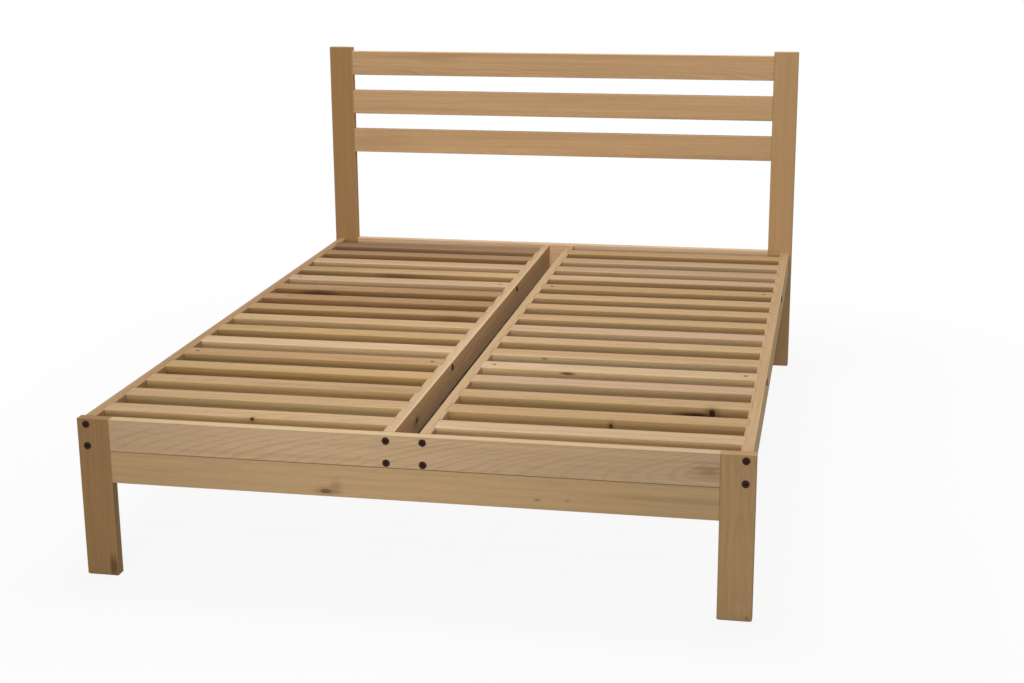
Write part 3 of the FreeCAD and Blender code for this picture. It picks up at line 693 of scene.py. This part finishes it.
class BedRails(bpy.types.Operator):
    """Gives the notched long rails their wood"""

    bl_idname = "bed.rails"
    bl_label = "Long rails"

    def execute(self, context):
        wood = context.scene.bed_wood

        def on_rail(place, height, size, **more):
            """A spot on the left inner rail, by its place on Y and its height."""
            return spot((INNER_RAIL, place, height), size, **more)

        flame = on_rail(-812, 334, (32, 12, 8), colour=tuple(wood.umber), strength=0.8)
        # Painted light: paler along the top of the rail's face in the gap between the inner rails
        paler = on_rail(-250, 384, (1500, 52, 8), colour=toned(wood.cream, 1.35), ragged=0.5)
        # Painted shade: darker along the lower part of that face
        darker = on_rail(-250, 292, (1500, 50, 8), colour=toned(wood.umber, 0.8), ragged=0.5)
        # Painted shadow: a near-black line along the rail's lower edge, where the gap lies in
        # shadow
        painted_slit_shadow = on_rail(-650, 299, (1850, 13, 8), colour=toned(wood.knot, 0.2), strength=1.0,
                        edge=(1.0, 0.75), ragged=0.2)
        browner = on_rail(700, 338, (900, 90, 90), colour=tuple(wood.chestnut), strength=0.3)
        looks = {
            "rail_left_outer": look_of("h", lift=0.88),
            "rail_left_inner": look_of(
                # The face tint here is painted shade colour for the rail's faces
                "c", knot=on_rail(-798, 341, (11, 6, 8)), face=(1.1, 1.02, 0.86),
                stains=[browner, paler, darker, flame, painted_slit_shadow],
            ),
            "rail_right_inner": look_of("s"),
            # Painted light: the rail's broad faces are made much lighter
            "rail_right_outer": look_of("t", slope=-0.03, face=(1.66, 1.74, 1.7)),
        }
        for node, look in looks.items():
            dress_node(node, wood_material(Board(node), look))
        return {"FINISHED"}


# End grain of the legs and posts
LEG_END_SHARE = 0.22


def make_end(legs, cross):
    """Builds the legs and the cross boards of one end of the bed from their looks."""
    boards = bpy.context.scene.bed_boards
    radius, bevel = boards.board_round, boards.end_bevel
    for node, look in legs.items():
        look = dict(look, end_share=LEG_END_SHARE)
        make_board(node, look, radius, boards.toe_bevel, bevel)
    for node, look in cross.items():
        make_board(node, look, radius, bevel, bevel)


class BedFootEnd(bpy.types.Operator):
    """Builds the two legs and two boards of the foot end"""

    bl_idname = "bed.foot_end"
    bl_label = "Foot end"

    def execute(self, context):
        wood = context.scene.bed_wood
        dark, brown = tuple(wood.walnut), tuple(wood.umber)
        # Partly dirt, partly painted shade: a dark line along the seam between the two foot boards
        seam_dirt_and_shade = spot((0, FOOT_FACE, 303), (2600, 1.5, 4), colour=dark, strength=0.8,
                    edge=(1.0, 0.4), ragged=0.2)
        pin = {"colour": toned(wood.chestnut, 0.6), "ragged": 0.6}
        legs = {
            "foot_leg_left": look_of(
                # Painted light: the leg's side faces, which lie in shade, are lightened
                "n", grain=0.6, lift=1.06, ring_share=0.12, side_tint=(1.2,) * 3,
                stains=[
                    spot((-697, FOOT_FACE, 24), (34, 12, 14), colour=tuple(wood.knot)),
                    spot((-686, -1013, 120), (190, 6, 16), colour=tuple(wood.olive),
                         strength=0.5),
                ],
            ),
            "foot_leg_right": look_of(
                "m", grain=0.7, lift=1.08, ring_share=0.2,
                stains=[
                    spot((751, FOOT_FACE, 9), (9, 8, 8), colour=dark, strength=0.9),
                    spot((733, FOOT_FACE, 32), (26, 12, 8), colour=tuple(wood.cream),
                         strength=0.5),
                ],
            ),
        }
        cross = {
            "foot_board_upper": look_of(
                "f", lift=1.03, side_tint=(0.955, 1.01, 1.0), pith_across=-0.068,
                pith_depth=0.13, tilt=-0.13, turn=0.055, bow=0.064, warp=0.009, waver=0.0032,
                arch=3.0, ring_spacing=0.0062, ring_start=0.6, ring_share=0.28, ring_vary=2.6,
                stains=[
                    spot((664, FOOT_FACE, 337), (56, 17, 10), colour=brown, strength=0.85,
                         ragged=2.8),
                    # Painted light: a paler patch across the middle of the board, a pool of light
                    spot((-170, FOOT_FACE, 345), (480, 120, 40),
                         colour=toned(wood.blush, 1.22), strength=0.55),
                    seam_dirt_and_shade,
                ],
            ),
            "foot_board_lower": look_of(
                "g", lift=1.04, grain=0.8, ring_share=0.15, pith_depth=0.035, tilt=0.003,
                band_share=0.45,
                knot=spot((-181, FOOT_FACE, 240), (12, 5, 6), strength=0.5, push=0.024),
                stains=[
                    spot((294, FOOT_FACE, 250), (9, 4.5, 5), strength=0.8, **pin),
                    spot((360, FOOT_FACE, 252), (6, 4.5, 5), **pin),
                    spot((560, FOOT_FACE, 268), (190, 7, 8), colour=brown, strength=0.35),
                    spot((-560, FOOT_FACE, 262), (110, 5, 8), colour=brown, strength=0.25),
                    # Painted light: a paler patch across the middle of the board, a pool of light
                    spot((-60, FOOT_FACE, 262), (500, 120, 30), colour=toned(wood.wheat, 1.2),
                         strength=0.5),
                    spot((-176, FOOT_FACE, 240), (36, 9, 8), colour=brown, strength=0.7),
                    spot((-158, FOOT_FACE, 254), (16, 18, 8), colour=brown, strength=0.5),
                    seam_dirt_and_shade,
                ],
            ),
        }
        make_end(legs, cross)
        return {"FINISHED"}


class BedHeadEnd(bpy.types.Operator):
    """Builds the head posts, the three head rails and the head deck board"""

    bl_idname = "bed.head_end"
    bl_label = "Head end"

    def execute(self, context):
        red = tuple(context.scene.bed_wood.russet)
        posts = {
            # Painted light: the left post's side faces, which lie in shade, are lightened
            "head_post_left": look_of("n", grain=0.6, lift=1.24, ring_share=0.1,
                                      side_tint=(1.35,) * 3),
            "head_post_right": look_of("m", grain=0.6, lift=1.26, ring_share=0.12),
        }
        cross = {
            "head_rail_top": look_of("a", lift=1.16, ring_share=0.24, band_share=0.8, stains=[
                spot((-420, HEAD_FACE, 985), (150, 13, 8), colour=red, strength=0.35),
            ]),
            "head_rail_middle": look_of("a", lift=1.17, ring_share=0.12, draw=1),
            "head_rail_lower": look_of(
                "a", lift=1.17, slope=-0.05, ring_share=0.14, draw=2,
                stains=[spot((-600, HEAD_FACE, 712), (160, 40, 8), colour=red, strength=0.3)],
            ),
            # Painted light: the board's front and back faces are made lighter
            "head_deck_board": look_of("c", lift=1.34, face=(1.13, 1.07, 1.07)),
        }
        make_end(posts, cross)
        return {"FINISHED"}


# Sizes of a bolt in millimetres, and the metres from a rail's edge to its bolts
HEAD_RADIUS, HEAD_HEIGHT, RIM_ROUND, DOME = 8.5, 2.4, 1.4, 0.25
SHANK_RADIUS, SHANK_LENGTH, SHANK_BEVEL = 3.0, 65.0, 0.8
SOCKET_FLAT, SOCKET_FLOOR, SOCKET_MOUTH = 2.0, 0.4, 2.8
BOLT_COLUMNS = 48
BOLT_EDGE = 0.013


def bolt_profile():
    """The rows of a bolt from the end of its shank, over the head and down into the socket:
    radius, height above the underside of the head, how far the row is a hexagon, how deep it
    lies in the socket, which sets its painted shade, and how far its rim is lighter, partly rubbed
    plating and partly a painted highlight. All lengths are millimetres."""
    quarter = np.linspace(0, math.pi / 2, 6)
    # The rim's last column makes its lighter ring: partly wear, partly a painted highlight
    rim = [(HEAD_RADIUS - RIM_ROUND + RIM_ROUND * math.cos(turn),
            HEAD_HEIGHT - DOME - RIM_ROUND + RIM_ROUND * math.sin(turn), 0, 0, math.sin(2 * turn))
           for turn in quarter]
    crown_radius = np.linspace(HEAD_RADIUS - RIM_ROUND, SOCKET_MOUTH, 6)[1:]
    crown = [(radius, HEAD_HEIGHT - DOME * (radius / HEAD_RADIUS) ** 2, 0, 0, 0)
             for radius in crown_radius]
    rows = [
        (SHANK_RADIUS - SHANK_BEVEL, -SHANK_LENGTH, 0, 0, 0),
        (SHANK_RADIUS, SHANK_BEVEL - SHANK_LENGTH, 0, 0, 0),
        (SHANK_RADIUS, -0.2, 0, 0, 0),
        (SHANK_RADIUS, 0, 0, 0, 0),
        (HEAD_RADIUS - 0.2, 0, 0, 0, 0),
        (HEAD_RADIUS, 0.2, 0, 0, 0),
    ] + rim + crown + [
        (SOCKET_FLAT, HEAD_HEIGHT - 0.45, 1, 0.6, 0),
        (SOCKET_FLAT, HEAD_HEIGHT - 0.7, 1, 1, 0),
        (SOCKET_FLAT, SOCKET_FLOOR + 0.1, 1, 1, 0),
        (SOCKET_FLAT - 0.1, SOCKET_FLOOR, 1, 1, 0),
        (0.3, SOCKET_FLOOR - 0.2, 0, 1, 0),
    ]
    return np.array(rows, float)


def bolt_points(seats, turns):
    """Bolts as points of grids. Each row is its radius times (cosine, sine) of the angle round
    the bolt's axis. A hexagon's radius is its flat over the cosine of the angle from the nearest
    flat's middle. Each seat is the middle of a head's underside and the way that it faces."""
    radius, height, hexagon = bolt_profile()[:, :3].T[..., None]
    angle = np.arange(BOLT_COLUMNS) * 2 * math.pi / BOLT_COLUMNS
    from_flat = (angle + math.pi / 6) % (math.pi / 3) - math.pi / 6
    reach = radius * (1 + hexagon * (1 / np.cos(from_flat) - 1))
    grids = []
    for (seat, way), turn in zip(seats, turns):
        outward_way = np.array(way, float)
        across = np.cross((0.0, 0.0, 1.0), outward_way)
        upward = np.cross(outward_way, across)
        flat = reach[..., None] * (np.cos(angle + turn)[:, None] * across
                                   + np.sin(angle + turn)[:, None] * upward)
        grids.append(np.array(seat) + (flat + height[..., None] * outward_way) * MM)
    return np.stack(grids)


def make_bolts(node, seats, material):
    """Replaces a node of bolts with turned bolts in the same seats. Two attributes of the mesh
    say where the socket's painted shade falls and where the rim is lighter, partly rubbed and
    partly a painted highlight."""
    random = np.random.default_rng(len(node) * 7)
    grids = bolt_points(seats, random.uniform(0, math.pi / 3, len(seats)))
    faces = grid_faces(*grids.shape[1:3])
    size = grids.shape[1] * grids.shape[2]
    all_faces = [[corner + size * place for corner in face]
                 for place in range(len(seats)) for face in faces]
    piece = new_piece(node + "_turned", grids, all_faces, material)
    for name, column in (("socket", 3), ("rubbed", 4)):
        shares = np.broadcast_to(bolt_profile()[:, column][None, :, None], grids.shape[:3])
        attribute = piece.data.attributes.new(name, "FLOAT", "POINT")
        attribute.data.foreach_set("value", shares.ravel().astype(np.float32))
    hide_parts(node)


def end_seats(node, way):
    """Seats of the bolts into the ends of the rails: two a rail, one above the other."""
    low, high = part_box(node)
    face = (high[1] if way > 0 else low[1]) - way * HEAD_HEIGHT * MM
    seats = []
    for rail in ("left_outer", "left_inner", "right_inner", "right_outer"):
        bottom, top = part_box("rail_" + rail)
        for height in (bottom[2] + BOLT_EDGE, top[2] - BOLT_EDGE):
            seats.append((((bottom[0] + top[0]) / 2, face, height), (0, way, 0)))
    return seats


def tie_seats():
    """Seats of the bolts through the rails into the ends of the tie slats."""
    seats = []
    for side in SLAT_WOODS:
        for number in TIE_SLATS:
            low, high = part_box(f"slat_{side}_{number:02d}")
            for rail in ("outer", "inner"):
                bottom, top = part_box(f"rail_{side}_{rail}")
                way = 1.0 if (bottom[0] + top[0]) > (low[0] + high[0]) else -1.0
                face = top[0] if way > 0 else bottom[0]
                seat = (face, (low[1] + high[1]) / 2, (low[2] + high[2]) / 2)
                seats.append((seat, (way, 0, 0)))
    return seats


def bronze_material():
    """Dark plated bolt: brown-black, patchy, rubbed lighter on its rim, where the ring is partly a
    painted highlight, with painted shade that makes its socket black.
    """
    fittings = bpy.context.scene.bed_fittings
    graph = Graph("bolt_bronze")
    place = graph.node("ShaderNodeTexCoord", output="Object")
    patch = graph.noise(graph.scaled(place, (160.0,) * 3, (3.0, 7.0, 1.0)), 4.0, 0.6)
    fine = graph.noise(graph.scaled(place, (1500.0,) * 3, (1.0, 2.0, 9.0)), 3.0, 0.6)
    rubbed = graph.smooth(patch + fine * 0.5, 0.02, 0.24)
    rim, socket = (
        graph.node("ShaderNodeAttribute", {"attribute_name": name}, output="Fac")
        for name in ("rubbed", "socket")
    )
    # The rim's ring: partly rubbed plating, partly a painted highlight
    rubbed = (rubbed * 0.55 + rim * 0.5).clamped()
    colour = graph.mix(rubbed, tuple(fittings.bronze), tuple(fittings.worn))
    # Painted shade: the socket is darkened nearly to black
    colour = graph.mix(socket * 0.85, colour, toned(tuple(fittings.bronze), 0.15))
    roughness = (rubbed * -0.1 + fine * 0.2 + 0.55).clamped()
    inputs = {"Base Color": colour, "Roughness": roughness, "Specular IOR Level": 0.15}
    return graph.finish(inputs, fine + patch, bump_distance=0.00012, bump_share=0.5)


def nut_material():
    """Dull plated barrel nut, turned, with fine marks and a darker patina in patches."""
    fittings = bpy.context.scene.bed_fittings
    graph = Graph("nut_plating")
    place = graph.node("ShaderNodeTexCoord", output="Object")
    patch = graph.noise(graph.scaled(place, (220.0,) * 3, (4.0, 2.0, 8.0)), 3.0, 0.6)
    marks = graph.noise(graph.scaled(place, (2400.0, 2400.0, 300.0), (1.0, 5.0, 2.0)), 2.0)
    dull = graph.smooth(patch, -0.12, 0.18)
    plating = tuple(fittings.nut_metal)
    colour = graph.mix(dull * 0.6, plating, toned(plating, 0.45))
    roughness = (dull * 0.18 + marks * 0.25 + 0.42).clamped()
    inputs = {"Base Color": colour, "Roughness": roughness, "Metallic": 0.8}
    return graph.finish(inputs, marks, bump_distance=0.00005, bump_share=0.4)


class BedFittings(bpy.types.Operator):
    """Gives the bolts, barrel nuts and dowels their metal and wood"""

    bl_idname = "bed.fittings"
    bl_label = "Bolts, nuts and dowels"

    def execute(self, context):
        bronze, plating = bronze_material(), nut_material()
        make_bolts("foot_bolts", end_seats("foot_bolts", -1), bronze)
        make_bolts("head_bolts", end_seats("head_bolts", 1), bronze)
        make_bolts("tie_bolts", tie_seats(), bronze)
        for node in ("foot_barrel_nuts", "head_barrel_nuts", "tie_barrel_nuts"):
            dress_node(node, plating)
        for node in ("foot_dowels", "head_dowels"):
            dress_node(node, wood_material(Board(node), look_of("c")))
        return {"FINISHED"}


# Floor, light and camera

BED_HALF_WIDTH, BED_HALF_LENGTH = 0.76, 1.03
FLOOR_REACH, MOTTLE_WAVES, WHITE = 30.0, 1.3, (1.0,) * 4
SHADOW_EDGE, WHITE_SHARES = (0.05, 1.2), (0.89, 1.0)
TOP_LAMP = {"place": (0, 0.3, 4.5), "target": (0, 0, 0.4), "size": 2.5}
FRONT_LAMP = {"place": (0.5, -10, 1.8), "target": (-0.15, -1, 0.5), "size": 1.6, "spread": 50}
FILL_LAMP = {"place": (-0.1, -3.4, 3.0), "target": (-0.1, -1, 0.35), "size": 1.0, "spread": 34}
CAMERA_PLACE = Vector((0.91143, -4.42432, 1.54172))
CAMERA_YAW, CAMERA_PITCH, CAMERA_ROLL = 0.19461, 0.2648, -0.00734


def camera_rotation():
    """Looks along +Y, turned left by the yaw, down by the pitch, and tipped by the roll."""
    ahead = Vector((-math.sin(CAMERA_YAW), math.cos(CAMERA_YAW), 0))
    right = Vector((math.cos(CAMERA_YAW), math.sin(CAMERA_YAW), 0))
    ahead = ahead * math.cos(CAMERA_PITCH) - Vector((0, 0, math.sin(CAMERA_PITCH)))
    up = right.cross(ahead)
    tipped_right = right * math.cos(CAMERA_ROLL) + up * math.sin(CAMERA_ROLL)
    tipped_up = up * math.cos(CAMERA_ROLL) - right * math.sin(CAMERA_ROLL)
    return Matrix((tipped_right, tipped_up, -ahead)).transposed()


def add_soft_light(name, strength, place, target, size, spread=180):
    """A square area light that faces a target and spreads by so many degrees."""
    lamp = bpy.data.lights.new(name, "AREA")
    lamp.shape, lamp.size, lamp.energy = "SQUARE", size, strength
    lamp.spread = math.radians(spread)
    light = bpy.data.objects.new(name, lamp)
    light.location = place
    light.rotation_euler = (Vector(target) - Vector(place)).to_track_quat("-Z", "Y").to_euler()
    bpy.context.scene.collection.objects.link(light)


def floor_material():
    """Pale matt floor with a faint mottle. The view and glosses see it nearly white, less so
    near the bed, where it keeps a soft shadow. Other light meets its darker shade."""
    stage = bpy.context.scene.bed_stage
    graph = Graph("studio_floor")
    place = graph.node("ShaderNodeTexCoord", output="Object")
    path = graph.node("ShaderNodeLightPath").socket.node
    seen = Value(graph, path.outputs["Is Camera Ray"]) + Value(graph, path.outputs["Is Glossy Ray"])
    seen = (seen + Value(graph, path.outputs["Is Transmission Ray"])).clamped()
    axes = graph.node("ShaderNodeSeparateXYZ", {}, {0: place}).socket.node
    past = [graph.math("ABSOLUTE", Value(graph, axes.outputs[axis])) - reach
            for axis, reach in enumerate((BED_HALF_WIDTH, BED_HALF_LENGTH))]
    beyond = [graph.math("MAXIMUM", value, 0.0) for value in past]
    away = graph.math("SQRT", beyond[0] * beyond[0] + beyond[1] * beyond[1])
    share = seen * graph.smooth(away, *SHADOW_EDGE, *WHITE_SHARES)
    mottle = graph.noise(graph.scaled(place, (MOTTLE_WAVES,) * 3, (0.0,) * 3), 3.0)
    pale = graph.mix((mottle + 0.5).clamped(), toned(tuple(stage.floor), 0.985), tuple(stage.floor))
    colour = graph.mix(seen, tuple(stage.floor_shade), pale)
    inputs = {"Base Color": colour, "Roughness": 0.9, "Specular IOR Level": 0.1}
    shader = graph.node("ShaderNodeBsdfPrincipled", {}, inputs)
    white = graph.node("ShaderNodeEmission", {}, {"Color": WHITE, "Strength": 1.0})
    mixed = graph.node("ShaderNodeMixShader", {}, {0: share, 1: shader, 2: white})
    graph.node("ShaderNodeOutputMaterial", {}, {"Surface": mixed})
    return graph.owner


class BedStage(bpy.types.Operator):
    """Sets the floor, the soft lights, the room's light and the camera"""

    bl_idname = "bed.stage"
    bl_label = "Stage"

    def execute(self, context):
        scene = context.scene
        stage = scene.bed_stage
        mesh = bpy.data.meshes.new("floor")
        corners = [(x * FLOOR_REACH, y * FLOOR_REACH, 0)
                   for x, y in ((-1, -1), (1, -1), (1, 1), (-1, 1))]
        mesh.from_pydata(corners, [], [(0, 1, 2, 3)])
        mesh.materials.append(floor_material())
        floor = bpy.data.objects.new("floor", mesh)
        scene.collection.objects.link(floor)

        add_soft_light("top_light", stage.top_strength, **TOP_LAMP)
        add_soft_light("front_light", stage.front_strength, **FRONT_LAMP)
        add_soft_light("fill_light", stage.fill_strength, **FILL_LAMP)

        graph = Graph("studio", "worlds")
        room, backdrop = (
            graph.node("ShaderNodeBackground", {}, {"Color": WHITE, "Strength": strength})
            for strength in (stage.ambient, 1.0)
        )
        seen = graph.node("ShaderNodeLightPath", output="Is Camera Ray")
        mixed = graph.node("ShaderNodeMixShader", {}, {0: seen, 1: room, 2: backdrop})
        graph.node("ShaderNodeOutputWorld", {}, {"Surface": mixed})
        scene.world = graph.owner

        lens = bpy.data.cameras.new("photo_view")
        lens.sensor_fit, lens.sensor_width, lens.lens = "HORIZONTAL", 36.0, stage.lens
        lens.clip_start, lens.clip_end = 0.05, 200.0
        camera = bpy.data.objects.new("photo_view", lens)
        camera.matrix_world = Matrix.Translation(CAMERA_PLACE) @ camera_rotation().to_4x4()
        scene.collection.objects.link(camera)
        scene.camera = camera
        scene.view_settings.view_transform = "Standard"
        return {"FINISHED"}


STEPS = (BedSlats, BedRails, BedFootEnd, BedHeadEnd, BedFittings, BedStage)


class BedPanel(bpy.types.Panel):
    """Lists the bed's steps and settings"""

    bl_idname = "VIEW3D_PT_platform_bed"
    bl_label = "Platform Bed"
    bl_space_type = "VIEW_3D"
    bl_region_type = "UI"
    bl_category = "Platform Bed"

    def draw(self, context):
        for step in STEPS:
            self.layout.operator(step.bl_idname)
        for key, group in SETTINGS.items():
            box = self.layout.box()
            for setting in group.__annotations__:
                box.prop(getattr(context.scene, key), setting)


def register():
    for group in SETTINGS.values():
        bpy.utils.register_class(group)
    for key, group in SETTINGS.items():
        setattr(bpy.types.Scene, key, bpy.props.PointerProperty(type=group))
    for step in STEPS:
        bpy.utils.register_class(step)
    bpy.utils.register_class(BedPanel)


def unregister():
    bpy.utils.unregister_class(BedPanel)
    for step in reversed(STEPS):
        bpy.utils.unregister_class(step)
    for key in SETTINGS:
        delattr(bpy.types.Scene, key)
    for group in reversed(list(SETTINGS.values())):
        bpy.utils.unregister_class(group)


def main():
    register()
    for step in STEPS:
        family, name = step.bl_idname.split(".")
        getattr(getattr(bpy.ops, family), name)()


if __name__ == "__main__":
    main()
